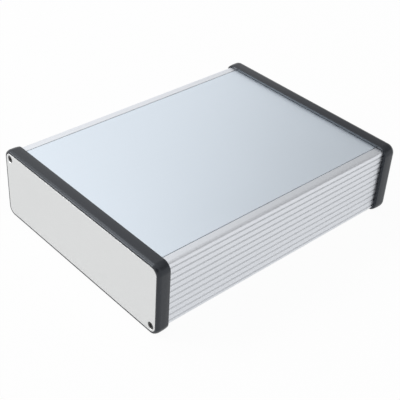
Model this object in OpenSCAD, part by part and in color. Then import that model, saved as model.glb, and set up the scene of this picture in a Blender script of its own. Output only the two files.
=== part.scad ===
// Extruded aluminium instrument case.
// A ribbed U-shaped body holds a slide-in cover between its two top rails. Each end carries a
// moulded bezel that sleeves over the body, and a flat end panel that sits in the bezel's face.
// Screws on one diagonal of each panel run through the bezel into channels in the body's corners.
// X is the width, Y the length with the front end at -Y, and Z is up from the surface it stands on.

/* [Body extrusion] */
// Width of the body
body_w = 159.4; // [120:0.1:240]
// Height of the body
body_h = 50.2; // [42:0.1:90]
// Length of the body that shows between the bezels
body_shown_len = 200.4; // [80:0.1:400]
// Radius of the body's four long corners
corner_r = 2.6; // [1:0.1:3.2]
// Thickness of the side walls, before the grooves are taken out
side_t = 2.4; // [1.8:0.1:3]
// Thickness of the floor
floor_t = 2.0; // [1.2:0.1:3]

/* [Side grooves] */
// Height from one groove to the next
groove_pitch = 4.7; // [3:0.1:8]
// Width of a groove at the surface
groove_w = 1.5; // [0.6:0.1:2.4]
// Depth of a groove
groove_d = 0.75; // [0.3:0.05:1]
// Least plain height between a long edge of the body and a groove's middle
groove_margin = 3.6; // [3:0.1:8]

/* [Cover and rails] */
// Width of each rail beside the cover
rail_w = 7.1; // [7:0.1:8]
// Thickness of the cover plate
cover_t = 1.6; // [1.6:0.1:2.4]
// Gap that shows along each side of the cover
seam_gap = 0.4; // [0.2:0.05:0.8]
// How far the body's ends stand out past the cover's ends
cover_end_gap = 0.3; // [0:0.05:1]
// Thickness of the rail's lip over the tongue
lip_t = 1.5; // [1:0.1:1.6]
// Thickness of the cover's tongue
tongue_t = 1.2; // [0.8:0.1:1.6]
// Reach of the tongue under the lip
tongue_reach = 1.5; // [0.8:0.1:1.8]
// Width of the tongue's root under the plate
tongue_root = 2.4; // [1:0.1:6]
// Play of the tongue under the lip and at its tip
slide_gap = 0.3; // [0.1:0.05:0.4]
// Thickness of the ledge that the tongue slides on
ledge_t = 1.6; // [1:0.1:2.5]

/* [Card guides] */
// Width of a board slot
slot_w = 1.9; // [1:0.1:3]
// Height from one board slot to the next
slot_pitch = 9.4; // [6:0.1:20]
// Thickness of the rib on each side of a slot
guide_t = 1.2; // [0.8:0.1:1.5]
// How far the ribs stand out from the side wall
guide_len = 2.8; // [1.5:0.1:4]

/* [Bezels] */
// How far a bezel stands out past the body's sides
proud_side = 2.8; // [2:0.1:5]
// How far a bezel stands out past the body's top and underside
proud_top = 2.3; // [2:0.1:5]
// Depth of a bezel that shows from the end face to the body
bezel_depth = 9.8; // [9:0.1:16]
// Depth of the socket that the body's end sits in
socket_depth = 1.5; // [0.8:0.1:2.5]
// Play of the body's end in the socket
socket_gap = 0.15; // [0.05:0.05:0.4]
// Largest radius of a bezel's corners
bezel_corner_r = 6.6; // [5.5:0.1:8]
// Rise of the rounded nose, from the end face out to the full outline
nose_rise = 1.6; // [1.4:0.1:1.8]
// Depth of the rounded nose behind the end face
nose_depth = 3.2; // [2.4:0.1:4]
// Radius of the nose's tight front edge
nose_edge_r = 1.0; // [0.6:0.1:1.2]
// Width of the flat land that the case stands on
land_w = 2.0; // [1:0.1:3]
// Radius of the skirt's fall behind the land
skirt_r = 24; // [20:1:60]
// Thickness of the web behind the panel
web_t = 2.4; // [1.5:0.1:3]
// Width of the web that backs a panel's left and right edges
web_side = 8.9; // [8.4:0.1:12]
// Width of the web that backs a panel's top and bottom edges
web_top = 6.1; // [5:0.1:9]
// Radius of the window's corners
window_r = 2.5; // [0.5:0.1:6]
// Thickness of the rim round the window
rim_t = 1.6; // [1:0.1:2]
// Height of that rim behind the web
rim_h = 2.4; // [1:0.1:3]
// Thickness of the ribs that the body's end stops against
rib_t = 1.4; // [1:0.1:2]
// Distance from one rib to the next
rib_pitch = 19; // [10:0.5:30]

/* [End panels] */
// Width of the bezel's rim at a panel's left and right edges
rim_side = 2.1; // [1.9:0.1:2.3]
// Width of the bezel's rim at a panel's top and bottom edges
rim_top = 2.3; // [1.9:0.1:2.5]
// Thickness of a panel
panel_t = 1.6; // [1.5:0.1:2]
// Radius of a panel's corners
panel_corner_r = 4.6; // [2:0.1:6]
// Play of a panel in its recess
panel_gap = 0.25; // [0.1:0.05:0.3]
// Width of the shallow pressed mark in each corner without a screw
mark_d = 4.6; // [2:0.1:5]
// Depth of that mark
mark_depth = 0.15; // [0.05:0.05:0.4]

/* [Screws] */
// Distance from a panel's edges to a screw's axis
screw_inset = 4.2; // [4:0.1:4.4]
// Thread diameter of the self-tapping screws
screw_d = 2.9; // [2.2:0.1:3]
// Length of a screw
screw_len = 16; // [12:0.5:30]
// Diameter of the countersunk head
head_d = 5.2; // [4.6:0.1:5.4]
// How deep the head lies below the panel's face
head_sink = 0.25; // [0:0.05:0.3]
// Play of the shank in the panel and the bezel
shank_gap = 0.25; // [0.1:0.05:0.4]
// Play of the thread in the body's screw channel
thread_gap = 0.05; // [0.02:0.01:0.1]
// Play of the head in its countersink
head_gap = 0.05; // [0.02:0.01:0.15]
// Width of the cross recess
cross_w = 0.8; // [0.5:0.1:1]
// Length of each arm pair of the cross recess
cross_len = 2.8; // [2:0.1:3.2]
// Depth of the cross recess
cross_depth = 1.0; // [0.4:0.1:1.2]
// Wall round a screw channel
channel_wall = 1.4; // [1:0.1:1.6]
// Width of the slot that opens a channel to the inside
channel_slot = 1.6; // [0.8:0.1:2]
// Wall of the bezel's corner block round a screw
block_wall = 1.7; // [1:0.1:2]

/* [Hidden] */
$fn = 96;
past = 1;                                  // how far a cut runs past the face that it opens

// Outer sizes
bezel_w = body_w + 2 * proud_side;
bezel_h = body_h + 2 * proud_top;
overall_len = body_shown_len + 2 * bezel_depth;
body_len = body_shown_len + 2 * socket_depth;
axis_z = bezel_h / 2;                      // height of the case's middle

// Cover, tongue and rail, measured from the middle of the section
body_top = body_h / 2;
rail_x = body_w / 2 - rail_w;              // inner edge of each lip
cover_w = 2 * (rail_x - seam_gap);
tongue_x = cover_w / 2 + tongue_reach;     // tip of each tongue
slot_end_x = tongue_x + slide_gap;
slot_floor = body_top - lip_t - slide_gap - tongue_t;
ledge_x = cover_w / 2 - tongue_root;

// End panels
panel_w = bezel_w - 2 * rim_side;
panel_h = bezel_h - 2 * rim_top;
web_back = panel_t + web_t;                // depth of the web's rear face below the end face
stop_depth = bezel_depth - socket_depth;   // depth that the body's end reaches
window_w = panel_w - 2 * web_side;
window_h = panel_h - 2 * web_top;

// Screws
screw_x = panel_w / 2 - screw_inset;
screw_z = panel_h / 2 - screw_inset;
channel_r = screw_d / 2 + thread_gap;
boss_r = channel_r + channel_wall;
clear_r = screw_d / 2 + shank_gap;
block_r = clear_r + block_wall;
mark_sphere_r = (mark_d * mark_d / 4 + mark_depth * mark_depth) / (2 * mark_depth);

// The nose's wide arc meets its tight front arc and the flat land without a step
nose_crown_r = (pow(nose_depth - nose_edge_r, 2) + nose_rise * nose_rise - nose_edge_r * nose_edge_r)
    / (2 * (nose_rise - nose_edge_r));

// Patterns, as many as the section has room for
groove_count = floor((body_h - 2 * groove_margin) / groove_pitch) + 1;
guide_room = 2 * (screw_z - boss_r) - slot_w - 2 * guide_t;
guide_rows = floor(guide_room / slot_pitch) + 1;
top_ribs = floor((body_w - 4 * block_r - 2 * rib_pitch) / rib_pitch) + 1;
side_ribs = floor((body_h - 4 * block_r - rib_pitch / 2) / rib_pitch) + 1;

silver = [0.82, 0.84, 0.87];
panel_silver = [0.86, 0.87, 0.86];
black_plastic = [0.16, 0.16, 0.18];
black_steel = [0.10, 0.10, 0.11];

// ---- Shared shapes ----

// A rectangle with round corners, centred
module rounded_rect(w, h, r) {
    square([w - 2 * r, h], center = true);
    square([w, h - 2 * r], center = true);
    for (x = [-1, 1], y = [-1, 1])
        translate([x * (w / 2 - r), y * (h / 2 - r)])
            circle(r);
}

// The children on the right and mirrored to the left
module both_sides() {
    children();
    mirror([1, 0, 0])
        children();
}

// The children in one corner and mirrored to the other three
module four_corners() {
    both_sides() {
        children();
        mirror([0, 1, 0])
            children();
    }
}

// Round block on the upper right screw's axis, filled out to the corner beyond it
module corner_fill(r) {
    translate([screw_x, screw_z]) {
        circle(r);
        translate([0, -r])
            square([body_w / 2 - screw_x + past, body_h / 2 - screw_z + r + past]);
        translate([-r, 0])
            square([body_w / 2 - screw_x + r + past, body_h / 2 - screw_z + past]);
    }
}

// Places one end's parts, which are drawn with the end face at z = 0 and the inside below it
module at_end(turn) {
    rotate([0, 0, turn])
        translate([0, -overall_len / 2, axis_z])
            rotate([90, 0, 0])
                children();
}

// A section in the width and height of the case, run along its length
module along_length(length) {
    translate([0, 0, axis_z])
        rotate([90, 0, 0])
            linear_extrude(height = length, center = true)
                children();
}

// ---- Body extrusion ----

// Row of V-grooves down the right side of the section
module side_grooves() {
    for (i = [0 : groove_count - 1])
        translate([body_w / 2, (i - (groove_count - 1) / 2) * groove_pitch])
            polygon([[-groove_d, 0], [past, groove_w / 2 * (1 + past / groove_d)],
                [past, -groove_w / 2 * (1 + past / groove_d)]]);
}

// Pairs of ribs that hold a board's edge, on the right wall
module card_guides() {
    for (row = [0 : guide_rows - 1], side = [-1, 1])
        translate([body_w / 2 - side_t - guide_len,
            (row - (guide_rows - 1) / 2) * slot_pitch + side * (slot_w + guide_t) / 2 - guide_t / 2])
            square([guide_len + side_t / 2, guide_t]);
}

module side_wall() {
    translate([body_w / 2 - side_t, -body_h / 2])
        square([side_t, body_h]);
}

// Material round the screw channel in the upper right corner, which runs out into both walls
module channel_boss() {
    corner_fill(boss_r);
}

// Bore and slot of that channel, which opens to the inside
module channel_cut() {
    translate([screw_x, screw_z]) {
        circle(channel_r);
        rotate(225)
            translate([0, -channel_slot / 2])
                square([boss_r + past, channel_slot]);
    }
}

// Solid rail along the upper right edge, before the cover's slot is cut
module rail() {
    translate([ledge_x, slot_floor - ledge_t])
        square([body_w / 2 - ledge_x, body_top - slot_floor + ledge_t]);
}

// Space that the cover takes between and under the lips
module cover_space() {
    translate([-rail_x, slot_floor])
        square([2 * rail_x, body_top - slot_floor + past]);
    translate([-slot_end_x, slot_floor])
        square([2 * slot_end_x, tongue_t + slide_gap]);
}

module body_section() {
    difference() {
        intersection() {
            rounded_rect(body_w, body_h, corner_r);
            union() {
                translate([-body_w / 2, -body_h / 2])
                    square([body_w, floor_t]);
                both_sides() {
                    side_wall();
                    rail();
                    card_guides();
                }
                four_corners()
                    channel_boss();
            }
        }
        cover_space();
        four_corners()
            channel_cut();
        both_sides()
            side_grooves();
    }
}

module body_extrusion() {
    color(silver)
        along_length(body_len)
            body_section();
}

// ---- Cover plate ----

module cover_section() {
    translate([-cover_w / 2, body_top - cover_t])
        square([cover_w, cover_t]);
    both_sides() {
        translate([ledge_x, slot_floor])
            square([tongue_root, body_top - cover_t / 2 - slot_floor]);
        translate([ledge_x, slot_floor])
            square([tongue_x - ledge_x, tongue_t]);
    }
}

module cover_plate() {
    color(silver)
        along_length(body_len - 2 * cover_end_gap)
            cover_section();
}

// ---- Bezel ----

// Outer form's section: the distance out from a corner's axis, and the depth below the end face
module bezel_profile() {
    edge_x = bezel_corner_r - nose_rise;
    crown_x = bezel_corner_r - nose_crown_r;
    land_end = nose_depth + land_w;
    reach = 2 * nose_crown_r;
    translate([0, -bezel_depth])
        square([edge_x, bezel_depth]);
    translate([edge_x, -nose_edge_r])
        circle(nose_edge_r);
    intersection() {
        translate([0, -nose_depth])
            square([bezel_corner_r, nose_depth]);
        translate([crown_x, -nose_depth])
            circle(nose_crown_r);
        translate([crown_x, -nose_depth])
            polygon([[0, 0], [reach, 0], [reach, reach],
                2 * [nose_crown_r - nose_rise, nose_depth - nose_edge_r]]);
    }
    translate([0, -land_end])
        square([bezel_corner_r, land_w]);
    intersection() {
        translate([0, -bezel_depth])
            square([bezel_corner_r, bezel_depth - land_end]);
        translate([bezel_corner_r - skirt_r, -land_end])
            circle(skirt_r);
    }
}

// The profile carried round the rounded outline: four turned corners, four straight edges
module bezel_outer() {
    axis_x = bezel_w / 2 - bezel_corner_r;
    axis_y = bezel_h / 2 - bezel_corner_r;
    four_corners()
        translate([axis_x, axis_y, 0])
            rotate_extrude(angle = 90)
                bezel_profile();
    both_sides()
        translate([axis_x, axis_y, 0])
            rotate([90, 0, 0])
                linear_extrude(height = 2 * axis_y)
                    bezel_profile();
    for (turn = [0, 180])
        rotate([0, 0, turn])
            translate([-axis_x, axis_y, 0])
                rotate([90, 0, 90])
                    linear_extrude(height = 2 * axis_x)
                        bezel_profile();
    translate([-axis_x, -axis_y, -bezel_depth])
        cube([2 * axis_x, 2 * axis_y, bezel_depth]);
}

// Outline of the pocket behind the web, which the body's end also enters
module socket_outline(grow) {
    rounded_rect(body_w + 2 * (socket_gap + grow), body_h + 2 * (socket_gap + grow),
        corner_r + socket_gap + grow);
}

// Ribs across the pocket's edge, which the walls of the body stop against
module stop_ribs() {
    intersection() {
        difference() {
            socket_outline(past / 2);
            socket_outline(-side_t - socket_gap);
        }
        union() {
            for (i = [0 : top_ribs - 1])
                translate([(i - (top_ribs - 1) / 2) * rib_pitch, 0])
                    square([rib_t, bezel_h], center = true);
            for (i = [0 : side_ribs - 1])
                translate([0, (i - (side_ribs - 1) / 2) * rib_pitch])
                    square([bezel_w, rib_t], center = true);
        }
    }
}

// Block in the upper right corner of the pocket, which a screw runs through
module corner_block() {
    intersection() {
        socket_outline(past / 2);
        corner_fill(block_r);
    }
}

module bezel() {
    difference() {
        union() {
            difference() {
                bezel_outer();
                translate([0, 0, -bezel_depth - past])
                    linear_extrude(height = bezel_depth + past - web_back)
                        socket_outline(0);
            }
            translate([0, 0, -stop_depth])
                linear_extrude(height = stop_depth - panel_t - web_t / 2) {
                    stop_ribs();
                    four_corners()
                        corner_block();
                }
            translate([0, 0, -web_back - rim_h])
                linear_extrude(height = rim_h + web_t / 2)
                    rounded_rect(window_w + 2 * rim_t, window_h + 2 * rim_t, window_r + rim_t);
        }
        translate([0, 0, -panel_t])
            linear_extrude(height = panel_t + past)
                rounded_rect(panel_w + 2 * panel_gap, panel_h + 2 * panel_gap,
                    panel_corner_r + panel_gap);
        translate([0, 0, -bezel_depth - past])
            linear_extrude(height = bezel_depth + 2 * past)
                rounded_rect(window_w, window_h, window_r);
        four_corners()
            translate([screw_x, screw_z, -bezel_depth - past])
                cylinder(r = clear_r, h = bezel_depth + 2 * past);
    }
}

// ---- End panel ----

// Hole for a countersunk screw: a clear hole below a straight-sided cone
module countersink() {
    sink_r = head_d / 2 + head_gap + head_sink;
    translate([0, 0, -panel_t - past])
        cylinder(r = clear_r, h = panel_t + 2 * past);
    translate([0, 0, clear_r - sink_r])
        cylinder(r1 = clear_r, r2 = sink_r + past, h = sink_r - clear_r + past);
}

// Screws sit upper left and lower right, pressed marks upper right and lower left
module end_panel() {
    difference() {
        translate([0, 0, -panel_t])
            linear_extrude(height = panel_t)
                rounded_rect(panel_w, panel_h, panel_corner_r);
        for (side = [-1, 1]) {
            translate([side * screw_x, -side * screw_z, 0])
                countersink();
            translate([side * screw_x, side * screw_z, mark_sphere_r - mark_depth])
                sphere(mark_sphere_r);
        }
    }
}

// ---- Screw ----

// Self-tapping screw with its axis on z and its head just below the end face
module screw() {
    head_h = (head_d - screw_d) / 2;
    tip_h = screw_d / 2;
    color(black_steel)
        difference() {
            union() {
                translate([0, 0, -head_sink - head_h])
                    cylinder(r1 = screw_d / 2, r2 = head_d / 2, h = head_h);
                translate([0, 0, -head_sink - screw_len + tip_h])
                    cylinder(r = screw_d / 2, h = screw_len - tip_h - head_h);
                translate([0, 0, -head_sink - screw_len])
                    cylinder(r1 = screw_d / 4, r2 = screw_d / 2, h = tip_h);
            }
            translate([0, 0, -head_sink - cross_depth])
                linear_extrude(height = cross_depth + past) {
                    square([cross_len, cross_w], center = true);
                    square([cross_w, cross_len], center = true);
                }
        }
}

module front_bezel() { color(black_plastic) at_end(0) bezel(); }

module rear_bezel() { color(black_plastic) at_end(180) bezel(); }

module front_panel() { color(panel_silver) at_end(0) end_panel(); }

module rear_panel() { color(panel_silver) at_end(180) end_panel(); }

// side is -1 for the upper left screw of an end and 1 for its lower right one
module end_screw(turn, side) {
    at_end(turn)
        translate([side * screw_x, -side * screw_z, 0])
            screw();
}

body_extrusion();
cover_plate();
front_bezel();
rear_bezel();
front_panel();
rear_panel();
end_screw(0, -1);  // front_upper_screw
end_screw(0, 1);  // front_lower_screw
end_screw(180, -1);  // rear_upper_screw
end_screw(180, 1);  // rear_lower_screw
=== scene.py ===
"""Extruded aluminium instrument case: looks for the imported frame.

A ribbed U-shaped body holds a slide-in cover between its rails. Each end has a black moulded
bezel, a flat end panel in the bezel's face and two countersunk screws on one diagonal.
Every sub-assembly is a class with its sizes in millimetres. Meshes are built in metres.
"""

import logging
import math
from abc import ABC, abstractmethod
from collections.abc import Mapping, Sequence
from dataclasses import dataclass
from enum import Enum

import bmesh
import bpy
from mathutils import Matrix, Vector


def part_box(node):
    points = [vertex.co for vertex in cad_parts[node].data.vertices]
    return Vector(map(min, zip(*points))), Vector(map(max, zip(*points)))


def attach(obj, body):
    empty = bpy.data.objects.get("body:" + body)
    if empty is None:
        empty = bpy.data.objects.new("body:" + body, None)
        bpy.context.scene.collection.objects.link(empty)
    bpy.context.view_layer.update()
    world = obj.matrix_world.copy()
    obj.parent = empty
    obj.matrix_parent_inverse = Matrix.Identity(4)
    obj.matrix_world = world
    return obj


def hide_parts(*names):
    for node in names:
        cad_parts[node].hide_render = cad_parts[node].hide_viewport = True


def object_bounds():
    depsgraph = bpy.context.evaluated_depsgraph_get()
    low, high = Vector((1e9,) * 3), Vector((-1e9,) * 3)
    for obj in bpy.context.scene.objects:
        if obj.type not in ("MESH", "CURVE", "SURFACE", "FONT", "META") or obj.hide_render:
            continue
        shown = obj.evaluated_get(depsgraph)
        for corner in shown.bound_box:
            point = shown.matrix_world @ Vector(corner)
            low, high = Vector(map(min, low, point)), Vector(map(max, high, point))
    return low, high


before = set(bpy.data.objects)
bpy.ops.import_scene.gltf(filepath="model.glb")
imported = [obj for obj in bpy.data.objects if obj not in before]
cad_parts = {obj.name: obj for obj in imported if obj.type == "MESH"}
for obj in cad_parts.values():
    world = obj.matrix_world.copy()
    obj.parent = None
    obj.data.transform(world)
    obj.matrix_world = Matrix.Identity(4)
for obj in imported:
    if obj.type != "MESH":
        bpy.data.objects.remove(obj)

LOG = logging.getLogger("case")
MM = 0.001
SHARP_ANGLE = math.radians(35)
CAD_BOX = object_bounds()

Colour = tuple[float, float, float]
Point = tuple[float, float]
Corner = tuple[float, float, float]


def linear(red: float, green: float, blue: float) -> Colour:
    """Turns display levels into scene-linear ones.

    Args:
        red: Red level from 0 to 255.
        green: Green level from 0 to 255.
        blue: Blue level from 0 to 255.

    Returns:
        The colour as three linear values.
    """
    def channel(level: float) -> float:
        """One channel's linear value."""
        share = level / 255
        return share / 12.92 if share <= 0.04045 else ((share + 0.055) / 1.055) ** 2.4
    return channel(red), channel(green), channel(blue)


# ---- Shader graph ----


class Value:
    """A number that varies over a surface: a socket with arithmetic."""

    def __init__(self, graph: "Graph", socket: bpy.types.NodeSocket) -> None:
        """Wraps a socket.

        Args:
            graph: Graph that new Math nodes are added to.
            socket: Output socket that holds the number.
        """
        self.graph = graph
        self.socket = socket

    def _math(self, operation: str, *terms: "Value | float") -> "Value":
        """Adds one Math node.

        Args:
            operation: The node's operation.
            terms: Its inputs in order.

        Returns:
            The node's result.
        """
        node = self.graph.add(
            "ShaderNodeMath", {"operation": operation}, dict(enumerate(terms))
        )
        return Value(self.graph, node.outputs[0])

    def __add__(self, other: "Value | float") -> "Value":
        """Sum."""
        return self._math("ADD", self, other)

    def __radd__(self, other: float) -> "Value":
        """Sum with a number first."""
        return self._math("ADD", other, self)

    def __sub__(self, other: "Value | float") -> "Value":
        """Difference."""
        return self._math("SUBTRACT", self, other)

    def __rsub__(self, other: float) -> "Value":
        """Difference from a number."""
        return self._math("SUBTRACT", other, self)

    def __mul__(self, other: "Value | float") -> "Value":
        """Product."""
        return self._math("MULTIPLY", self, other)

    def __rmul__(self, other: float) -> "Value":
        """Product with a number first."""
        return self._math("MULTIPLY", other, self)

    def __truediv__(self, other: "Value | float") -> "Value":
        """Quotient."""
        return self._math("DIVIDE", self, other)

    def __rtruediv__(self, other: float) -> "Value":
        """A number divided by this."""
        return self._math("DIVIDE", other, self)

    def __pow__(self, other: "Value | float") -> "Value":
        """Power."""
        return self._math("POWER", self, other)

    def highest(self, other: "Value | float") -> "Value":
        """The larger of the two."""
        return self._math("MAXIMUM", self, other)

    def steps(self, low: float, high: float) -> "Value":
        """Smooth rise from 0 to 1.

        Args:
            low: Input at which the rise starts.
            high: Input at which it ends.

        Returns:
            The eased share.
        """
        node = self.graph.add(
            "ShaderNodeMapRange",
            {"interpolation_type": "SMOOTHSTEP"},
            {"Value": self, "From Min": low, "From Max": high},
        )
        return Value(self.graph, node.outputs["Result"])


class Graph:
    """Builds the nodes of one material or world."""

    def __init__(self, tree: bpy.types.NodeTree) -> None:
        """Empties a node tree and keeps it.

        Args:
            tree: The tree to build in.
        """
        self.tree = tree
        tree.nodes.clear()

    def add(
        self,
        kind: str,
        settings: Mapping[str, object] | None = None,
        inputs: Mapping[str | int, object] | None = None,
    ) -> bpy.types.Node:
        """Adds a node.

        Args:
            kind: The node's type name.
            settings: Its properties, set before the sockets; "stops" fills a ramp.
            inputs: Values, links or Value objects by socket name or number.

        Returns:
            The new node.
        """
        node = self.tree.nodes.new(kind)
        for name, setting in (settings or {}).items():
            if name == "stops":
                elements = node.color_ramp.elements
                while len(elements) < len(setting):
                    elements.new(0.5)
                for element, (place, colour) in zip(elements, setting):
                    element.position = place
                    element.color = (*colour, 1)
            else:
                setattr(node, name, setting)
        for key, given in (inputs or {}).items():
            target = node.inputs[key]
            if isinstance(given, Value):
                given = given.socket
            if isinstance(given, bpy.types.NodeSocket):
                self.tree.links.new(given, target)
            elif target.type == "RGBA":
                target.default_value = (*given, 1)
            else:
                target.default_value = given
        return node

    def value(self, socket: bpy.types.NodeSocket) -> Value:
        """Wraps a socket for arithmetic."""
        return Value(self, socket)

    def place(self, scale: Colour = (1.0, 1.0, 1.0)) -> bpy.types.NodeSocket:
        """Position on the object in metres, stretched.

        Args:
            scale: Factor for each axis.

        Returns:
            The vector socket.
        """
        coordinates = self.add("ShaderNodeTexCoord")
        stretched = self.add(
            "ShaderNodeVectorMath",
            {"operation": "MULTIPLY"},
            {0: coordinates.outputs["Object"], 1: scale},
        )
        return stretched.outputs[0]

    def noise(
        self, scale: Colour, detail: float = 2.0, roughness: float = 0.5
    ) -> Value:
        """Noise with its own scale along each axis.

        Args:
            scale: Waves per metre along X, Y and Z.
            detail: Number of finer layers.
            roughness: Strength of the finer layers.

        Returns:
            The noise from 0 to 1.
        """
        node = self.add(
            "ShaderNodeTexNoise",
            {"noise_dimensions": "3D"},
            {
                "Vector": self.place(scale),
                "Scale": 1.0,
                "Detail": detail,
                "Roughness": roughness,
            },
        )
        return self.value(node.outputs["Fac"])

    def mix(
        self,
        share: Value | float,
        first: Colour | bpy.types.NodeSocket,
        second: Colour | bpy.types.NodeSocket,
    ) -> bpy.types.NodeSocket:
        """Mixes two colours.

        Args:
            share: Share of the second colour.
            first: Colour at share 0.
            second: Colour at share 1.

        Returns:
            The colour socket.
        """
        node = self.add(
            "ShaderNodeMix",
            {"data_type": "RGBA"},
            {0: share, 6: first, 7: second},
        )
        return node.outputs[2]

    def bump(self, height: Value, depth: float, strength: float) -> bpy.types.NodeSocket:
        """Turns a height into a normal.

        Args:
            height: Height from 0 to 1.
            depth: Depth of the relief in metres.
            strength: Share of the effect.

        Returns:
            The normal socket.
        """
        node = self.add(
            "ShaderNodeBump",
            None,
            {"Height": height, "Distance": depth, "Strength": strength},
        )
        return node.outputs["Normal"]

    def output(self, kind: str, shader: bpy.types.NodeSocket) -> None:
        """Adds the output node.

        Args:
            kind: Type name of the output.
            shader: Shader socket that feeds it.
        """
        self.add(kind, None, {0: shader})


def tinted(colour: Colour, factor: float) -> Colour:
    """A colour made lighter or darker by a factor, kept under 1."""
    return tuple(min(1.0, channel * factor) for channel in colour)


# ---- Finishes ----


@dataclass(frozen=True)
class Finish(ABC):
    """A surface finish, which builds its own material.

    Attributes:
        name: The material's name.
        colour: Linear base colour.
        roughness: Mean roughness.
    """

    name: str
    colour: Colour
    roughness: float

    @abstractmethod
    def shade(self, graph: Graph) -> bpy.types.NodeSocket:
        """Builds the nodes and returns the surface shader."""

    def material(self) -> bpy.types.Material:
        """The finish as a material, made on first use."""
        found = bpy.data.materials.get(self.name)
        if found:
            return found
        made = bpy.data.materials.new(self.name)
        made.use_nodes = True
        graph = Graph(made.node_tree)
        graph.output("ShaderNodeOutputMaterial", self.shade(graph))
        made.diffuse_color = (*self.colour, 1)
        return made


@dataclass(frozen=True)
class AnodisedExtrusion(Finish):
    """Satin anodised aluminium with fine die lines along the length.

    Attributes:
        streak: Share by which the colour varies across the die's broad streaks.
        line_depth: Depth of the fine lines in metres.
    """

    streak: float = 0.02
    line_depth: float = 4e-6

    def shade(self, graph: Graph) -> bpy.types.NodeSocket:
        """Broad streaks tint the metal, fine lines roughen it."""
        broad = graph.noise((420, 1.5, 420), 3.0, 0.6)
        lines = graph.noise((5200, 9, 5200), 2.0, 0.55)
        cloud = graph.noise((22, 14, 22), 2.0, 0.5)
        tone = graph.mix(
            broad * 0.7 + cloud * 0.3,
            tinted(self.colour, 1 - self.streak),
            tinted(self.colour, 1 + self.streak),
        )
        rough = self.roughness + (lines - 0.5) * 0.10 + (cloud - 0.5) * 0.05
        return graph.add(
            "ShaderNodeBsdfPrincipled",
            None,
            {
                "Base Color": tone,
                "Metallic": 1.0,
                "Roughness": rough,
                "Normal": graph.bump(lines, self.line_depth, 0.6),
            },
        ).outputs[0]


@dataclass(frozen=True)
class BlastedSheet(Finish):
    """Blasted and anodised aluminium sheet with a fine even grain.

    Attributes:
        grain_depth: Depth of the grain in metres.
    """

    grain_depth: float = 6e-6

    def shade(self, graph: Graph) -> bpy.types.NodeSocket:
        """An even grain with faint clouds in the anodising."""
        grain = graph.noise((3600, 3600, 3600), 2.0, 0.6)
        cloud = graph.noise((30, 30, 30), 2.0, 0.5)
        tone = graph.mix(
            grain * 0.5 + cloud * 0.5, tinted(self.colour, 0.985), tinted(self.colour, 1.015)
        )
        rough = self.roughness + (grain - 0.5) * 0.08 + (cloud - 0.5) * 0.04
        return graph.add(
            "ShaderNodeBsdfPrincipled",
            None,
            {
                "Base Color": tone,
                "Metallic": 1.0,
                "Roughness": rough,
                "Normal": graph.bump(grain, self.grain_depth, 0.5),
            },
        ).outputs[0]


@dataclass(frozen=True)
class MouldedPlastic(Finish):
    """Satin moulded plastic with the fine texture of an etched mould.

    Attributes:
        texture_depth: Depth of the mould's texture in metres.
        texture_scale: Waves of the texture per metre.
    """

    texture_depth: float = 1.2e-5
    texture_scale: float = 2600.0

    def shade(self, graph: Graph) -> bpy.types.NodeSocket:
        """Etched texture over a nearly even black."""
        scale = self.texture_scale
        etched = graph.noise((scale, scale, scale), 2.0, 0.6)
        cloud = graph.noise((45, 45, 45), 3.0, 0.55)
        tone = graph.mix(
            cloud * 0.6 + etched * 0.4, tinted(self.colour, 0.85), tinted(self.colour, 1.2)
        )
        rough = self.roughness + (cloud - 0.5) * 0.08 + (etched - 0.5) * 0.06
        return graph.add(
            "ShaderNodeBsdfPrincipled",
            None,
            {
                "Base Color": tone,
                "Roughness": rough,
                "IOR": 1.5,
                "Specular Tint": (0.84, 0.91, 1.0),
                "Normal": graph.bump(etched, self.texture_depth, 0.5),
            },
        ).outputs[0]


@dataclass(frozen=True)
class BlackSteel(Finish):
    """Blackened steel, a little brighter where the driver has rubbed it."""

    def shade(self, graph: Graph) -> bpy.types.NodeSocket:
        """Dark oxide with fine worn specks."""
        specks = graph.noise((2400, 2400, 2400), 3.0, 0.6)
        worn = specks.steps(0.56, 0.74)
        tone = graph.mix(worn * 0.35, self.colour, tinted(self.colour, 4.0))
        return graph.add(
            "ShaderNodeBsdfPrincipled",
            None,
            {
                "Base Color": tone,
                "Metallic": worn * 0.4 + 0.3,
                "Roughness": self.roughness + (specks - 0.5) * 0.15,
                "Normal": graph.bump(specks, 5e-6, 0.4),
            },
        ).outputs[0]


BODY_FINISH = AnodisedExtrusion("satin_body_anodising", linear(227, 230, 235), 0.38)
COVER_FINISH = AnodisedExtrusion("satin_cover_anodising", linear(222, 231, 240), 0.40, 0.012, 2e-6)
PANEL_FINISH = BlastedSheet("blasted_panel", linear(224, 225, 225), 0.46)
PLASTIC_FINISH = MouldedPlastic("moulded_plastic", (0.0135, 0.0150, 0.0190), 0.30)
SCREW_FINISH = BlackSteel("black_steel", (0.012, 0.012, 0.013), 0.36)


# ---- Outlines and meshes ----


def filleted(corners: Sequence[Corner], step_deg: float = 15.0) -> list[Point]:
    """Rounds the corners of a closed outline.

    Args:
        corners: Corner points with the radius of each, 0 for a sharp one.
        step_deg: Largest turn between neighbouring points of an arc.

    Returns:
        The outline's points.
    """
    points: list[Point] = []
    count = len(corners)
    for index, (x, y, radius) in enumerate(corners):
        here = Vector((x, y))
        back = (Vector(corners[index - 1][:2]) - here).normalized()
        ahead = (Vector(corners[(index + 1) % count][:2]) - here).normalized()
        turn = math.pi - back.angle(ahead)
        if radius <= 0 or turn < 0.02:
            points.append((x, y))
            continue
        reach = radius * math.tan(turn / 2)
        middle = here + (back + ahead).normalized() * (radius / math.cos(turn / 2))
        start = here + back * reach - middle
        sweep = turn if back.x * ahead.y - back.y * ahead.x < 0 else -turn
        steps = max(2, math.ceil(math.degrees(turn) / step_deg))
        for step in range(steps + 1):
            spoke = Matrix.Rotation(sweep * step / steps, 2) @ start
            points.append((middle.x + spoke.x, middle.y + spoke.y))
    return points


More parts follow.
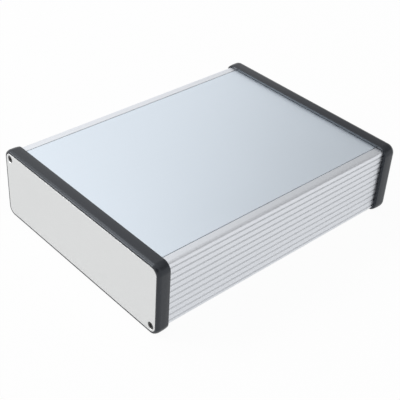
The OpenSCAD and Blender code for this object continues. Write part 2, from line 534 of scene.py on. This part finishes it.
def mirrored(half: Sequence[Corner]) -> list[Corner]:
    """Closes the right half of an outline with its mirror image."""
    return [*half, *((-x, y, radius) for x, y, radius in reversed(half))]


def rounded_ring(
    half_width: float, half_height: float, radius: float, steps: int = 16
) -> list[Point]:
    """Points of a rectangle with round corners.

    Args:
        half_width: Half of its width.
        half_height: Half of its height.
        radius: Corner radius.
        steps: Segments in each corner.

    Returns:
        The points, the same number for every ring of the same steps.
    """
    points: list[Point] = []
    for quarter, (sx, sy) in enumerate(((1, 1), (-1, 1), (-1, -1), (1, -1))):
        for step in range(steps + 1):
            angle = math.pi / 2 * (quarter + step / steps)
            points.append((
                sx * (half_width - radius) + radius * math.cos(angle),
                sy * (half_height - radius) + radius * math.sin(angle),
            ))
    return points


def circle_ring(x: float, y: float, radius: float, steps: int = 40) -> list[Point]:
    """Points of a circle about (x, y)."""
    return [
        (x + radius * math.cos(math.tau * i / steps), y + radius * math.sin(math.tau * i / steps))
        for i in range(steps)
    ]


class Form:
    """A mesh under construction, in millimetres."""

    def __init__(self) -> None:
        """Starts with an empty mesh."""
        self.mesh = bmesh.new()

    def ring(self, points: Sequence[Point], height: float) -> list[bmesh.types.BMVert]:
        """Adds a ring of points at one height."""
        return [self.mesh.verts.new((x, y, height)) for x, y in points]

    def bridge(
        self, first: Sequence[bmesh.types.BMVert], second: Sequence[bmesh.types.BMVert]
    ) -> None:
        """Joins two rings of the same count with a band of faces."""
        count = len(first)
        for i in range(count):
            j = (i + 1) % count
            self.mesh.faces.new((first[i], first[j], second[j], second[i]))

    def loft(
        self, rings: Sequence[tuple[Sequence[Point], float]], closed: bool = False
    ) -> list[list[bmesh.types.BMVert]]:
        """Joins rings in order.

        Args:
            rings: Points and height of each ring.
            closed: Whether the last ring joins the first.

        Returns:
            The rings' vertices.
        """
        made = [self.ring(points, height) for points, height in rings]
        for first, second in zip(made, made[1:]):
            self.bridge(first, second)
        if closed:
            self.bridge(made[-1], made[0])
        return made

    def cap(self, *loops: Sequence[bmesh.types.BMVert]) -> None:
        """Fills the flat space inside the first loop and outside the others."""
        if len(loops) == 1:
            self.mesh.faces.new(loops[0])
            return
        edges = []
        for loop in loops:
            for i, vertex in enumerate(loop):
                other = loop[(i + 1) % len(loop)]
                edge = self.mesh.edges.get((vertex, other))
                edges.append(edge or self.mesh.edges.new((vertex, other)))
        bmesh.ops.triangle_fill(self.mesh, edges=edges, use_beauty=True)

    def finished(self, name: str, place: Matrix, finish: Finish) -> bpy.types.Object:
        """Turns the form into an object.

        Args:
            name: Name of the piece.
            place: Where the form goes, in millimetres.
            finish: Its finish.

        Returns:
            The new object, at the origin with its place in its mesh.
        """
        bmesh.ops.remove_doubles(self.mesh, verts=self.mesh.verts, dist=1e-5)
        bmesh.ops.recalc_face_normals(self.mesh, faces=self.mesh.faces)
        self.mesh.transform(Matrix.Scale(MM, 4) @ place)
        for face in self.mesh.faces:
            face.smooth = True
        for edge in self.mesh.edges:
            edge.smooth = edge.calc_face_angle(math.pi) < SHARP_ANGLE
        data = bpy.data.meshes.new(name)
        self.mesh.to_mesh(data)
        self.mesh.free()
        data.materials.append(finish.material())
        made = bpy.data.objects.new(name, data)
        bpy.context.scene.collection.objects.link(made)
        weighted = made.modifiers.new("even_faces", "WEIGHTED_NORMAL")
        weighted.mode = "FACE_AREA_WITH_ANGLE"
        weighted.weight = 80
        weighted.keep_sharp = True
        return made


class End(Enum):
    """The two ends of the case."""

    FRONT = 0
    REAR = 180


class SubAssembly(ABC):
    """A sub-assembly of the case, which builds pieces that stand for CAD nodes."""

    @abstractmethod
    def build(self) -> list[bpy.types.Object]:
        """Builds and dresses every piece."""

    def dress(
        self, piece: bpy.types.Object, node: str, slot: str, finish: Finish
    ) -> bpy.types.Object:
        """Ties a piece to its CAD node and body.

        Args:
            piece: The piece.
            node: The CAD node that it stands for.
            slot: The record's material slot; not used.
            finish: The finish, which the hidden node is given too.

        Returns:
            The same piece.
        """
        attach(piece, "root")
        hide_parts(node)
        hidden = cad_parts[node].data
        hidden.materials.clear()
        hidden.materials.append(finish.material())
        LOG.info("%s stands for %s, %d faces", piece.name, node, len(piece.data.polygons))
        return piece


@dataclass
class CaseSizes:
    """Main sizes of the case, read from the CAD nodes' boxes, in millimetres.

    Attributes:
        body_w: Width of the body.
        body_h: Height of the body.
        body_len: Length of the body with its ends in the sockets.
        cover_len: Length of the cover plate.
        axis_z: Height of the case's middle.
        length: Length over both bezels.
        bezel_w: Width of a bezel.
        bezel_h: Height of a bezel.
        bezel_depth: Depth of a bezel.
        panel_w: Width of an end panel.
        panel_h: Height of an end panel.
        panel_t: Thickness of an end panel.
    """

    body_w: float
    body_h: float
    body_len: float
    cover_len: float
    axis_z: float
    length: float
    bezel_w: float
    bezel_h: float
    bezel_depth: float
    panel_w: float
    panel_h: float
    panel_t: float

    @classmethod
    def from_frame(cls) -> "CaseSizes":
        """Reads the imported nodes' boxes."""
        def span(node: str) -> Vector:
            """Width, length and height of a node."""
            low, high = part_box(node)
            return (high - low) / MM
        body, cover = span("body_extrusion"), span("cover_plate")
        bezel, panel = span("front_bezel"), span("front_panel")
        low, high = CAD_BOX
        return cls(
            body_w=body.x, body_h=body.z, body_len=body.y, cover_len=cover.y,
            axis_z=(low.z + high.z) / 2 / MM, length=(high.y - low.y) / MM,
            bezel_w=bezel.x, bezel_h=bezel.z, bezel_depth=bezel.y,
            panel_w=panel.x, panel_h=panel.z, panel_t=panel.y,
        )

    def along_length(self) -> Matrix:
        """Places a section that is drawn in X and Y with its length on Z."""
        return Matrix.Translation((0, 0, self.axis_z)) @ Matrix.Rotation(math.pi / 2, 4, "X")

    def at_end(self, end: End) -> Matrix:
        """Places a form that is drawn with the end face at height 0 and the inside below."""
        return (
            Matrix.Rotation(math.radians(end.value), 4, "Z")
            @ Matrix.Translation((0, -self.length / 2, self.axis_z))
            @ Matrix.Rotation(math.pi / 2, 4, "X")
        )


@dataclass
class BodyExtrusion(SubAssembly):
    """U-shaped extrusion with grooved sides, cover rails, board slots and screw channels."""

    sizes: CaseSizes
    corner_r: float = 2.6
    side_t: float = 2.4
    floor_t: float = 2.0
    groove_pitch: float = 4.7
    groove_w: float = 1.5
    groove_d: float = 0.75
    groove_count: int = 10
    rail_w: float = 7.1
    lip_t: float = 1.5
    slot_h: float = 1.5
    slot_end_x: float = 74.0
    ledge_x: float = 69.8
    ledge_t: float = 1.6
    guide_pitch: float = 9.4
    guide_slot: float = 1.9
    guide_t: float = 1.2
    guide_len: float = 2.8
    guide_rows: int = 4
    screw_x: float = 76.2
    screw_z: float = 20.9
    channel_r: float = 1.5
    channel_slot: float = 1.6
    boss_r: float = 2.9
    edge_r: float = 0.16

    def grooves(self) -> list[Corner]:
        """V-grooves up the right side."""
        x, half = self.sizes.body_w / 2, self.groove_w / 2
        corners: list[Corner] = []
        for index in range(self.groove_count):
            middle = (index - (self.groove_count - 1) / 2) * self.groove_pitch
            corners += [
                (x, middle - half, self.edge_r),
                (x - self.groove_d, middle, 0.1),
                (x, middle + half, self.edge_r),
            ]
        return corners

    def upper_channel(self) -> list[Corner]:
        """Boss and slotted channel under the right rail, from its left side round to its foot."""
        ledge_z = self.sizes.body_h / 2 - self.lip_t - self.slot_h - self.ledge_t
        arrival = math.pi + math.asin((self.screw_z - ledge_z) / self.boss_r)
        outer_gap = math.asin(self.channel_slot / 2 / self.boss_r)
        inner_gap = math.asin(self.channel_slot / 2 / self.channel_r)
        mouth = math.radians(225)

        def arc(radius: float, start: float, end: float, steps: int) -> list[Corner]:
            """Points of an arc about the screw's axis."""
            angles = [start + (end - start) * i / steps for i in range(steps + 1)]
            return [
                (self.screw_x + radius * math.cos(a), self.screw_z + radius * math.sin(a), 0.0)
                for a in angles
            ]
        return [
            *arc(self.boss_r, arrival, mouth - outer_gap, 3),
            *arc(self.channel_r, mouth - inner_gap, mouth + inner_gap - math.tau, 22),
            *arc(self.boss_r, mouth + outer_gap, 1.5 * math.pi, 4),
        ]

    def lower_channel(self) -> list[Corner]:
        """The same boss at the floor, from the wall round to the floor."""
        outer_gap = math.asin(self.channel_slot / 2 / self.boss_r)
        inner_gap = math.asin(self.channel_slot / 2 / self.channel_r)
        mouth = math.radians(135)

        def arc(radius: float, start: float, end: float, steps: int) -> list[Corner]:
            """Points of an arc about the screw's axis."""
            angles = [start + (end - start) * i / steps for i in range(steps + 1)]
            return [
                (self.screw_x + radius * math.cos(a), -self.screw_z + radius * math.sin(a), 0.0)
                for a in angles
            ]
        return [
            *arc(self.boss_r, math.pi / 2, mouth - outer_gap, 4),
            *arc(self.channel_r, mouth - inner_gap, mouth + inner_gap - math.tau, 22),
            *arc(self.boss_r, mouth + outer_gap, math.pi, 4),
        ]

    def guides(self) -> list[Corner]:
        """Pairs of ribs down the right wall that hold a board's edge."""
        wall = self.sizes.body_w / 2 - self.side_t
        tip = wall - self.guide_len
        near, far = self.guide_slot / 2, self.guide_slot / 2 + self.guide_t
        corners: list[Corner] = []
        for row in reversed(range(self.guide_rows)):
            middle = (row - (self.guide_rows - 1) / 2) * self.guide_pitch
            for top, bottom in ((far, near), (-near, -far)):
                corners += [
                    (wall, middle + top, 0.0),
                    (tip, middle + top, 0.2),
                    (tip, middle + bottom, 0.2),
                    (wall, middle + bottom, 0.0),
                ]
        return corners

    def section(self) -> list[Point]:
        """The whole section as one closed outline."""
        x, top = self.sizes.body_w / 2, self.sizes.body_h / 2
        lip_x = x - self.rail_w
        wall = x - self.side_t
        slot_top = top - self.lip_t
        slot_floor = slot_top - self.slot_h
        half = [
            (x, -top, self.corner_r),
            *self.grooves(),
            (x, top, self.corner_r),
            (lip_x, top, 0.25),
            (lip_x, slot_top, 0.15),
            (self.slot_end_x, slot_top, 0.1),
            (self.slot_end_x, slot_floor, 0.1),
            (self.ledge_x, slot_floor, 0.15),
            (self.ledge_x, slot_floor - self.ledge_t, 0.15),
            *self.upper_channel(),
            (wall, self.screw_z - self.boss_r, 0.0),
            *self.guides(),
            (wall, -self.screw_z + self.boss_r, 0.0),
            *self.lower_channel(),
            (self.screw_x - self.boss_r, -top + self.floor_t, 0.0),
        ]
        return filleted(mirrored(half), 12.0)

    def build(self) -> list[bpy.types.Object]:
        """Runs the section along the body's length."""
        form, outline = Form(), self.section()
        half = self.sizes.body_len / 2
        rings = form.loft([(outline, -half), (outline, half)])
        form.cap(rings[0])
        form.cap(rings[1])
        piece = form.finished("body_shell", self.sizes.along_length(), BODY_FINISH)
        return [self.dress(piece, "body_extrusion", "anodised_body", BODY_FINISH)]


@dataclass
class CoverPlate(SubAssembly):
    """Flat cover whose tongues slide under the body's rails."""

    sizes: CaseSizes
    width: float = 144.4
    thickness: float = 1.6
    tongue_x: float = 73.7
    tongue_t: float = 1.2
    root_x: float = 69.8
    slot_floor: float = 22.1
    edge_r: float = 0.28

    def section(self) -> list[Point]:
        """The plate's section with a tongue at each side."""
        top, x = self.sizes.body_h / 2, self.width / 2
        half = [
            (self.root_x, top - self.thickness, 0.2),
            (self.root_x, self.slot_floor, 0.2),
            (self.tongue_x, self.slot_floor, 0.2),
            (self.tongue_x, self.slot_floor + self.tongue_t, 0.2),
            (x, self.slot_floor + self.tongue_t, 0.1),
            (x, top, self.edge_r),
        ]
        return filleted(mirrored(half), 15.0)

    def build(self) -> list[bpy.types.Object]:
        """Runs the section along the cover's length."""
        form, outline = Form(), self.section()
        half = self.sizes.cover_len / 2
        rings = form.loft([(outline, -half), (outline, half)])
        form.cap(rings[0])
        form.cap(rings[1])
        piece = form.finished("slide_cover", self.sizes.along_length(), COVER_FINISH)
        return [self.dress(piece, "cover_plate", "anodised_cover", COVER_FINISH)]


@dataclass
class EndBezel(SubAssembly):
    """Moulded bezel with a rounded nose, a recess for the panel and a pocket for the body."""

    sizes: CaseSizes
    end: End
    corner_r: float = 6.6
    nose_rise: float = 1.6
    nose_depth: float = 3.2
    nose_edge_r: float = 1.0
    land_w: float = 2.0
    skirt_r: float = 24.0
    panel_gap: float = 0.25
    panel_corner_r: float = 4.6
    web_t: float = 2.4
    window_w: float = 143.0
    window_h: float = 38.0
    window_r: float = 2.5
    rim_t: float = 1.6
    rim_h: float = 2.4
    socket_gap: float = 0.15
    body_corner_r: float = 2.6
    edge_r: float = 0.2

    def outer(self, inset: float, depth: float) -> tuple[list[Point], float]:
        """A ring of the outer form.

        Args:
            inset: Distance in from the full outline.
            depth: Depth below the end face.

        Returns:
            Its points and height.
        """
        ring = rounded_ring(
            self.sizes.bezel_w / 2 - inset, self.sizes.bezel_h / 2 - inset, self.corner_r - inset
        )
        return ring, -depth

    def nose(self) -> list[tuple[float, float]]:
        """Inset and depth of points round the nose, over the land and down the skirt."""
        rise, edge = self.nose_rise, self.nose_edge_r
        run = self.nose_depth - edge
        crown = (run * run + rise * rise - edge * edge) / (2 * (rise - edge))
        meet = math.atan2(run, crown - rise)
        points: list[tuple[float, float]] = []
        for step in range(7):
            angle = math.pi / 2 + (meet - math.pi / 2) * step / 6
            points.append((rise - edge * math.cos(angle), edge - edge * math.sin(angle)))
        for step in range(1, 9):
            angle = meet * (1 - step / 8)
            points.append(
                (crown - crown * math.cos(angle), self.nose_depth - crown * math.sin(angle))
            )
        land_end = self.nose_depth + self.land_w
        points.append((0.0, land_end))
        reach = self.sizes.bezel_depth - land_end - self.edge_r
        for step in range(1, 7):
            run = reach * step / 6
            points.append((self.skirt_r - math.sqrt(self.skirt_r**2 - run**2), land_end + run))
        last_inset, last_depth = points[-1]
        for step in range(1, 4):
            angle = math.pi / 2 * step / 3
            points.append((
                last_inset + self.edge_r * (1 - math.cos(angle)),
                last_depth + self.edge_r * math.sin(angle),
            ))
        return points

    def build(self) -> list[bpy.types.Object]:
        """Lofts one closed band of rings: nose, skirt, socket, web, rim, window and recess."""
        size = self.sizes
        depth, edge = size.bezel_depth, self.edge_r
        socket = (
            size.body_w / 2 + self.socket_gap,
            size.body_h / 2 + self.socket_gap,
            self.body_corner_r + self.socket_gap,
        )
        recess = (
            size.panel_w / 2 + self.panel_gap,
            size.panel_h / 2 + self.panel_gap,
            self.panel_corner_r + self.panel_gap,
        )
        web_front, web_back = size.panel_t, size.panel_t + self.web_t
        window = (self.window_w / 2, self.window_h / 2, self.window_r)

        def grown(outline: tuple[float, float, float], by: float) -> list[Point]:
            """A ring round an outline of half width, half height and radius."""
            return rounded_ring(outline[0] + by, outline[1] + by, outline[2] + by)
        rings = [self.outer(inset, down) for inset, down in self.nose()]
        rings += [
            (grown(socket, edge), -depth),
            (grown(socket, 0.3 * edge), -depth + 0.3 * edge),
            (grown(socket, 0), -depth + edge),
            (grown(socket, 0), -web_back - 0.2),
            (grown(socket, -0.2), -web_back),
            (grown(window, self.rim_t), -web_back),
            (grown(window, self.rim_t), -web_back - self.rim_h + 0.2),
            (grown(window, self.rim_t - 0.2), -web_back - self.rim_h),
            (grown(window, 0.2), -web_back - self.rim_h),
            (grown(window, 0), -web_back - self.rim_h + 0.2),
            (grown(window, 0), -web_front - 0.2),
            (grown(window, 0.2), -web_front),
            (grown(recess, 0), -web_front),
            (grown(recess, 0), -0.15),
            (grown(recess, 0.045), -0.045),
            (grown(recess, 0.15), 0.0),
        ]
        form = Form()
        form.loft(rings, closed=True)
        side = self.end.name.lower()
        piece = form.finished(f"{side}_bezel_moulding", size.at_end(self.end), PLASTIC_FINISH)
        return [self.dress(piece, f"{side}_bezel", "black_plastic", PLASTIC_FINISH)]


@dataclass
class EndPanel(SubAssembly):
    """Flat panel with two countersunk holes on one diagonal and two shallow marks on the other."""

    sizes: CaseSizes
    end: End
    corner_r: float = 4.6
    edge_r: float = 0.15
    back_edge: float = 0.15
    screw_inset: float = 4.2
    sink_r: float = 2.9
    clear_r: float = 1.7
    mark_r: float = 2.3
    mark_depth: float = 0.15

    def outline(self, inset: float) -> list[Point]:
        """The panel's outline, taken in by an inset."""
        return rounded_ring(
            self.sizes.panel_w / 2 - inset, self.sizes.panel_h / 2 - inset, self.corner_r - inset
        )

    def build(self) -> list[bpy.types.Object]:
        """Rounds the plate's front edge and opens the holes and marks in its face."""
        form = Form()
        thick, edge = self.sizes.panel_t, self.edge_r
        x = self.sizes.panel_w / 2 - self.screw_inset
        z = self.sizes.panel_h / 2 - self.screw_inset
        rings = [(self.outline(self.back_edge), -thick), (self.outline(0), self.back_edge - thick)]
        for step in range(6):
            angle = math.pi / 2 * step / 5
            inset, depth = edge * (1 - math.cos(angle)), edge * (math.sin(angle) - 1)
            rings.append((self.outline(inset), depth))
        rim = form.loft(rings)
        face_loops, back_loops = [rim[-1]], [rim[0]]
        for side in (-1, 1):
            sink = [
                (circle_ring(side * x, -side * z, self.sink_r + 0.12), 0.0),
                (circle_ring(side * x, -side * z, self.sink_r + 0.02), -0.03),
                (circle_ring(side * x, -side * z, self.sink_r - 0.08), -0.12),
                (circle_ring(side * x, -side * z, self.clear_r), self.clear_r - self.sink_r),
                (circle_ring(side * x, -side * z, self.clear_r), -thick),
            ]
            hole = form.loft(sink)
            face_loops.append(hole[0])
            back_loops.append(hole[-1])
            mark = [
                (
                    circle_ring(side * x, side * z, self.mark_r * share),
                    -self.mark_depth * (1 - share**2) ** 1.0,
                )
                for share in (1.0, 0.85, 0.7, 0.5, 0.3, 0.12)
            ]
            dish = form.loft(mark)
            face_loops.append(dish[0])
            form.cap(dish[-1])
        form.cap(*face_loops)
        form.cap(*back_loops)
        name = self.end.name.lower()
        piece = form.finished(f"{name}_panel_plate", self.sizes.at_end(self.end), PANEL_FINISH)
        return [self.dress(piece, f"{name}_panel", "panel_sheet", PANEL_FINISH)]


@dataclass
class EndScrews(SubAssembly):
    """Two self-tapping countersunk screws with cross recesses at one end."""

    sizes: CaseSizes
    end: End
    inset: float = 4.2
    head_r: float = 2.6
    head_sink: float = 0.25
    shank_r: float = 1.45
    length: float = 16.0
    thread_pitch: float = 1.1
    thread_depth: float = 0.38
    cross_half: float = 1.4
    cross_width: float = 0.8
    cross_depth: float = 1.0
    steps: int = 40

    def cross(self, shrink: float) -> list[Point]:
        """Outline of the cross recess, made smaller by a share."""
        arm, half = self.cross_half * (1 - shrink), self.cross_width / 2 * (1 - shrink)
        quarter = [(arm, -half), (arm, half), (half, half)]
        points: list[Point] = []
        for turn in range(4):
            spin = Matrix.Rotation(math.pi / 2 * turn, 2)
            points += [tuple(spin @ Vector(point)) for point in quarter]
        return points

    def shank_rings(self, x: float, z: float) -> list[tuple[list[Point], float]]:
        """Rings down the threaded shank, whose ridge winds round it."""
        neck = self.head_sink + self.head_r - self.shank_r
        end = self.head_sink + self.length
        taper = self.shank_r
        rows_per_turn = 8
        rows = int((end - neck) / self.thread_pitch * rows_per_turn)
        rings = []
        for row in range(rows + 1):
            depth = neck + (end - neck) * row / rows
            thinning = max(0.0, (depth - (end - taper)) / taper)
            start = min(1.0, (depth - neck) / self.thread_pitch)
            points = []
            for step in range(self.steps):
                angle = math.tau * step / self.steps
                phase = (depth / self.thread_pitch - angle / math.tau) % 1.0
                ridge = max(0.0, 1 - abs(phase - 0.5) * 3.2) * start * (1 - thinning)
                core = (self.shank_r - self.thread_depth) * (1 - 0.5 * thinning)
                radius = core + self.thread_depth * (ridge * start + (1 - start))
                points.append((x + radius * math.cos(angle), z + radius * math.sin(angle)))
            rings.append((points, -depth))
        return rings

    def screw(self, name: str, side: int) -> bpy.types.Object:
        """Builds one screw.

        Args:
            name: Name of the piece.
            side: -1 for the upper left screw, 1 for the lower right one.

        Returns:
            The screw.
        """
        x = side * (self.sizes.panel_w / 2 - self.inset)
        z = -side * (self.sizes.panel_h / 2 - self.inset)
        form, top = Form(), -self.head_sink
        head = [
            (circle_ring(x, z, self.head_r - 0.16, self.steps), top),
            (circle_ring(x, z, self.head_r - 0.05, self.steps), top - 0.03),
            (circle_ring(x, z, self.head_r - 0.02, self.steps), top - 0.1),
        ]
        rings = form.loft([*head, *self.shank_rings(x, z)])
        form.cap(rings[-1])
        mouth = form.ring([(x + u, z + v) for u, v in self.cross(0.0)], top)
        floor = form.ring([(x + u, z + v) for u, v in self.cross(0.45)], top - self.cross_depth)
        form.bridge(mouth, floor)
        form.cap(floor)
        form.cap(rings[0], mouth)
        return form.finished(name, self.sizes.at_end(self.end), SCREW_FINISH)

    def build(self) -> list[bpy.types.Object]:
        """Builds the end's two screws."""
        name = self.end.name.lower()
        pieces = []
        for place, side in (("upper", -1), ("lower", 1)):
            piece = self.screw(f"{name}_{place}_fixing", side)
            pieces.append(self.dress(piece, f"{name}_{place}_screw", "black_screw", SCREW_FINISH))
        return pieces


# ---- Studio ----


@dataclass(frozen=True)
class StudioFloor(Finish):
    """Pale floor that the camera sees nearly as white, with a soft shadow.

    Attributes:
        glow: Share of plain white in what the camera sees.
        mirrored: Share of plain white in what reflections see.
    """

    glow: float = 0.8
    mirrored: float = 0.5

    def shade(self, graph: Graph) -> bpy.types.NodeSocket:
        """Mixes a plain white with the lit floor for rays that show the background."""
        rays = graph.add("ShaderNodeLightPath").outputs
        reflected = graph.value(rays["Is Glossy Ray"]).highest(
            graph.value(rays["Is Transmission Ray"])
        )
        share = (graph.value(rays["Is Camera Ray"]) * self.glow).highest(
            reflected * self.mirrored
        )
        lit = graph.add(
            "ShaderNodeBsdfDiffuse", None, {"Color": self.colour, "Roughness": self.roughness}
        )
        plain = graph.add("ShaderNodeEmission", None, {"Color": (1, 1, 1), "Strength": 1.0})
        return graph.add(
            "ShaderNodeMixShader", None, {0: share, 1: lit.outputs[0], 2: plain.outputs[0]}
        ).outputs[0]


@dataclass(frozen=True)
class CardFinish(Finish):
    """Plain grey card that shades the reflections."""

    def shade(self, graph: Graph) -> bpy.types.NodeSocket:
        """An even level in every direction."""
        return graph.add(
            "ShaderNodeEmission", None, {"Color": self.colour, "Strength": 1.0}
        ).outputs[0]


@dataclass
class SoftBox:
    """A square area lamp aimed at the case.

    Attributes:
        name: The lamp's name.
        azimuth: Bearing in degrees, 0 in front of the case and 90 to its right.
        elevation: Angle above the floor in degrees.
        distance: Distance from the case in metres.
        size: Width of the lamp in metres.
        level: Brightness of its face, where 1 is white.
    """

    name: str
    azimuth: float
    elevation: float
    distance: float
    size: float
    level: float

    def place(self, target: Vector) -> bpy.types.Object:
        """Adds the lamp, aimed at a point."""
        data = bpy.data.lights.new(self.name, "AREA")
        data.shape = "SQUARE"
        data.size = self.size
        data.energy = self.level * math.pi * self.size**2
        lamp = bpy.data.objects.new(self.name, data)
        away = bearing(self.azimuth, self.elevation)
        lamp.location = target + away * self.distance
        lamp.rotation_euler = away.to_track_quat("Z", "Y").to_euler()
        bpy.context.scene.collection.objects.link(lamp)
        return lamp


@dataclass
class Card:
    """A flat card that only reflections see.

    Attributes:
        name: The card's name.
        azimuth: Bearing in degrees.
        elevation: Angle above the floor in degrees.
        distance: Distance from the case in metres.
        width: Width in metres.
        height: Height in metres.
        level: Its brightness, where 1 is white.
    """

    name: str
    azimuth: float
    elevation: float
    distance: float
    width: float
    height: float
    level: float

    def place(self, target: Vector) -> bpy.types.Object:
        """Adds the card, facing a point."""
        mesh = bpy.data.meshes.new(self.name)
        w, h = self.width / 2, self.height / 2
        mesh.from_pydata([(-w, -h, 0), (w, -h, 0), (w, h, 0), (-w, h, 0)], [], [(0, 1, 2, 3)])
        grey = (self.level,) * 3
        mesh.materials.append(CardFinish(f"{self.name}_face", grey, 1.0).material())
        card = bpy.data.objects.new(self.name, mesh)
        away = bearing(self.azimuth, self.elevation)
        card.location = target + away * self.distance
        card.rotation_euler = away.to_track_quat("Z", "Y").to_euler()
        bpy.context.scene.collection.objects.link(card)
        card.visible_camera = card.visible_diffuse = card.visible_shadow = False
        return card


def bearing(azimuth: float, elevation: float) -> Vector:
    """Unit vector from the case towards a bearing.

    Args:
        azimuth: Degrees, 0 towards -Y and 90 towards +X.
        elevation: Degrees above the floor.

    Returns:
        The direction.
    """
    a, e = math.radians(azimuth), math.radians(elevation)
    return Vector((math.sin(a) * math.cos(e), -math.cos(a) * math.cos(e), math.sin(e)))


@dataclass
class Camera:
    """The camera's place round the case.

    Attributes:
        azimuth: Bearing in degrees.
        elevation: Degrees above the floor.
        roll: Turn about the view's axis in degrees.
        distance: Distance from the case's middle in millimetres.
        across: Step to the right in millimetres.
        up: Step upwards in millimetres.
        lens: Focal length on a 36 mm wide sensor.
    """

    azimuth: float = 45.903
    elevation: float = 35.877
    roll: float = 3.760
    distance: float = 649.0
    across: float = -1.61
    up: float = -15.02
    lens: float = 81.612

    def place(self, target: Vector) -> bpy.types.Object:
        """Adds the camera and makes it the scene's own."""
        back = bearing(self.azimuth, self.elevation)
        a, roll = math.radians(self.azimuth), math.radians(self.roll)
        level = Vector((math.cos(a), math.sin(a), 0))
        upright = back.cross(level)
        right = level * math.cos(roll) + upright * math.sin(roll)
        top = upright * math.cos(roll) - level * math.sin(roll)
        data = bpy.data.cameras.new("camera")
        data.lens, data.sensor_width = self.lens, 36.0
        data.clip_start, data.clip_end = 0.01, 50.0
        made = bpy.data.objects.new("camera", data)
        spot = target + (back * self.distance + right * self.across + top * self.up) * MM
        turn = Matrix((right, top, back)).transposed()
        made.matrix_world = Matrix.Translation(spot) @ turn.to_4x4()
        bpy.context.scene.collection.objects.link(made)
        bpy.context.scene.camera = made
        return made


FLOOR_FINISH = StudioFloor("studio_floor", (0.9, 0.9, 0.9), 0.5, glow=0.95, mirrored=0.75)
FLOOR_RADIUS = 12.0  # metres
WORLD_FILL = 0.58  # brightness of the world as it lights matt surfaces, where 1 is white


class Studio:
    """Floor, world, lamps, cards and camera."""

    def __init__(self, middle: Vector) -> None:
        """Keeps the point that everything faces."""
        self.middle = middle
        self.camera = Camera()
        self.lamps = [
            SoftBox("key_box", -45, 35, 1.5, 0.6, 8.0),
            SoftBox("left_box", -78, 56, 1.5, 0.5, 3.0),
        ]
        self.cards = [
            Card("camera_card", 50, 42, 2.4, 2.0, 1.6, 0.12),
            Card("right_card", 132, 38, 2.4, 1.4, 1.3, 0.38),
            Card("back_card", 182, 36, 2.6, 3.3, 2.4, 0.48),
        ]

    def floor(self) -> bpy.types.Object:
        """Adds the floor, a wide disc under the case."""
        form = bmesh.new()
        bmesh.ops.create_circle(form, cap_ends=True, segments=96, radius=FLOOR_RADIUS)
        mesh = bpy.data.meshes.new("floor")
        form.to_mesh(mesh)
        form.free()
        mesh.materials.append(FLOOR_FINISH.material())
        made = bpy.data.objects.new("floor", mesh)
        bpy.context.scene.collection.objects.link(made)
        return made

    def world(self) -> None:
        """Even ambient light, white for the camera and in reflections."""
        world = bpy.data.worlds.new("studio_world")
        world.use_nodes = True
        graph = Graph(world.node_tree)
        rays = graph.add("ShaderNodeLightPath").outputs
        seen = graph.value(rays["Is Camera Ray"]).highest(
            graph.value(rays["Is Glossy Ray"])
        ).highest(graph.value(rays["Is Transmission Ray"]))
        light = seen * (1 - WORLD_FILL) + WORLD_FILL
        shader = graph.add("ShaderNodeBackground", None, {"Color": (1, 1, 1), "Strength": light})
        graph.output("ShaderNodeOutputWorld", shader.outputs[0])
        bpy.context.scene.world = world

    def build(self) -> None:
        """Sets the whole studio up."""
        self.camera.place(self.middle)
        self.floor()
        self.world()
        for item in (*self.lamps, *self.cards):
            item.place(self.middle)
        bpy.context.scene.view_settings.view_transform = "Standard"
        LOG.info("studio: %d lamps, %d cards", len(self.lamps), len(self.cards))


def main() -> None:
    """Builds the studio and every sub-assembly in order."""
    logging.basicConfig(level=logging.INFO, format="%(message)s")
    low, high = CAD_BOX
    Studio((low + high) / 2).build()
    sizes = CaseSizes.from_frame()
    parts: list[SubAssembly] = [BodyExtrusion(sizes), CoverPlate(sizes)]
    for end in End:
        parts += [EndBezel(sizes, end), EndPanel(sizes, end), EndScrews(sizes, end)]
    for part in parts:
        for piece in part.build():
            LOG.info("built %s", piece.name)


if __name__ == "__main__":
    main()
